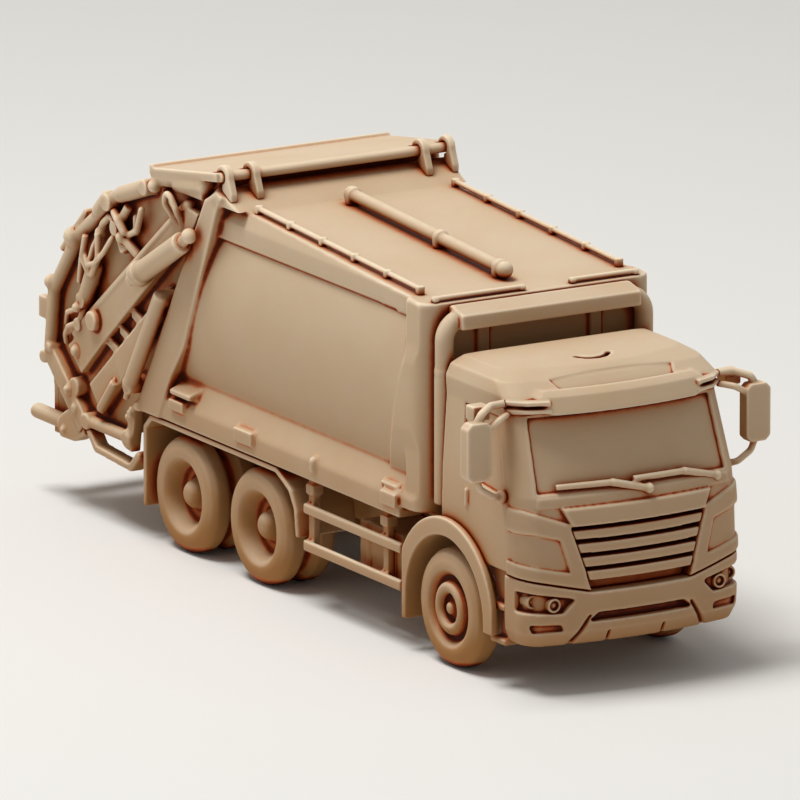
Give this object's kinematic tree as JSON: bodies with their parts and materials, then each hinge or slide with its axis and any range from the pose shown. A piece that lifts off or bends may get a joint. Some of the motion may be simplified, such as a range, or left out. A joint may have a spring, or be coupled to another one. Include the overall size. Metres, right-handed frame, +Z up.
{
  "type": "scale model garbage truck",
  "caption": "Unpainted resin scale model of a rear-loading garbage truck with rolling and steering wheels, a lifting tailgate and a swinging bin lifter.",
  "frame": {"origin": "on the ground under the middle of the model", "axes": "+X forward, +Y to the driver's left, +Z up"},
  "size_m": [0.1679, 0.0594, 0.0717],
  "materials": {
    "resin": "matte"
  },
  "bodies": {
    "bin_lifter": {"bin_lifter": "resin", "lifter_comb": "resin"},
    "chassis": {"bonnet_lip": "resin", "cab": "resin", "cab_steps": "resin", "chassis_frame": "resin", "corner_panel_left": "resin", "corner_panel_right": "resin", "front_arch_left": "resin", "front_arch_right": "resin", "front_axle": "resin", "front_bumper": "resin", "grille": "resin", "header_frame": "resin", "headlamps": "resin", "hinge_lugs": "resin", "mid_axle": "resin", "mirror_left": "resin", "mirror_right": "resin", "rear_axle": "resin", "rear_mudguard_left": "resin", "rear_mudguard_right": "resin", "rear_portal": "resin", "refuse_body": "resin", "roof_pipe": "resin", "roof_rails": "resin", "side_guard_left": "resin", "side_guard_right": "resin", "sill_left": "resin", "sill_right": "resin", "subframe": "resin", "sun_visor": "resin", "tank_left": "resin", "tank_right": "resin", "wipers": "resin"},
    "front_roller_left": {"front_wheel_left": "resin"},
    "front_roller_right": {"front_wheel_right": "resin"},
    "tailgate": {"gate_frame_left": "resin", "gate_frame_right": "resin", "gate_steps": "resin", "guide_beam_left": "resin", "guide_beam_right": "resin", "packer_blade": "resin", "packing_cylinder_left": "resin", "packing_cylinder_right": "resin", "sweep_gear_left": "resin", "sweep_gear_right": "resin", "tailgate_hood": "resin", "tailgate_shell": "resin", "valve_gear_left": "resin", "valve_gear_right": "resin"},
    "steering_left": {"knuckle_left": "resin"},
    "steering_right": {"knuckle_right": "resin"},
    "mid_roller_left": {"mid_wheel_left": "resin"},
    "mid_roller_right": {"mid_wheel_right": "resin"},
    "rear_roller_left": {"rear_wheel_left": "resin"},
    "rear_roller_right": {"rear_wheel_right": "resin"}
  },
  "joints": [
    {"name": "steer_right", "type": "hinge", "parent": "chassis", "child": "steering_right", "pos_m": [0.0569, -0.0146, 0.0102], "axis": [0, 0, 1], "range_deg": [-20, 20]},
    {"name": "steer_left", "type": "hinge", "parent": "chassis", "child": "steering_left", "pos_m": [0.0569, 0.0146, 0.0102], "axis": [0, 0, 1], "range_deg": [-20, 20]},
    {"name": "front_wheel_right_spin", "type": "hinge", "parent": "steering_right", "child": "front_roller_right", "pos_m": [0.0569, -0.0195, 0.0102], "axis": [0, 1, 0], "continuous": true},
    {"name": "front_wheel_left_spin", "type": "hinge", "parent": "steering_left", "child": "front_roller_left", "pos_m": [0.0569, 0.0195, 0.0102], "axis": [0, 1, 0], "continuous": true},
    {"name": "mid_wheel_right_spin", "type": "hinge", "parent": "chassis", "child": "mid_roller_right", "pos_m": [-0.0066, -0.0195, 0.0102], "axis": [0, 1, 0], "continuous": true},
    {"name": "mid_wheel_left_spin", "type": "hinge", "parent": "chassis", "child": "mid_roller_left", "pos_m": [-0.0066, 0.0195, 0.0102], "axis": [0, 1, 0], "continuous": true},
    {"name": "rear_wheel_right_spin", "type": "hinge", "parent": "chassis", "child": "rear_roller_right", "pos_m": [-0.0319, -0.0195, 0.0102], "axis": [0, 1, 0], "continuous": true},
    {"name": "rear_wheel_left_spin", "type": "hinge", "parent": "chassis", "child": "rear_roller_left", "pos_m": [-0.0319, 0.0195, 0.0102], "axis": [0, 1, 0], "continuous": true},
    {"name": "tailgate_lift", "type": "hinge", "parent": "chassis", "child": "tailgate", "pos_m": [-0.0167, 0, 0.0696], "axis": [0, 1, 0], "range_deg": [0, 70]},
    {"name": "bin_lift", "type": "hinge", "parent": "tailgate", "child": "bin_lifter", "pos_m": [-0.0669, 0, 0.0221], "axis": [0, 1, 0], "range_deg": [0, 95]}
  ],
  "couplings": [
    {"joint": "steer_left", "follows": "steer_right", "ratio": 1}
  ]
}
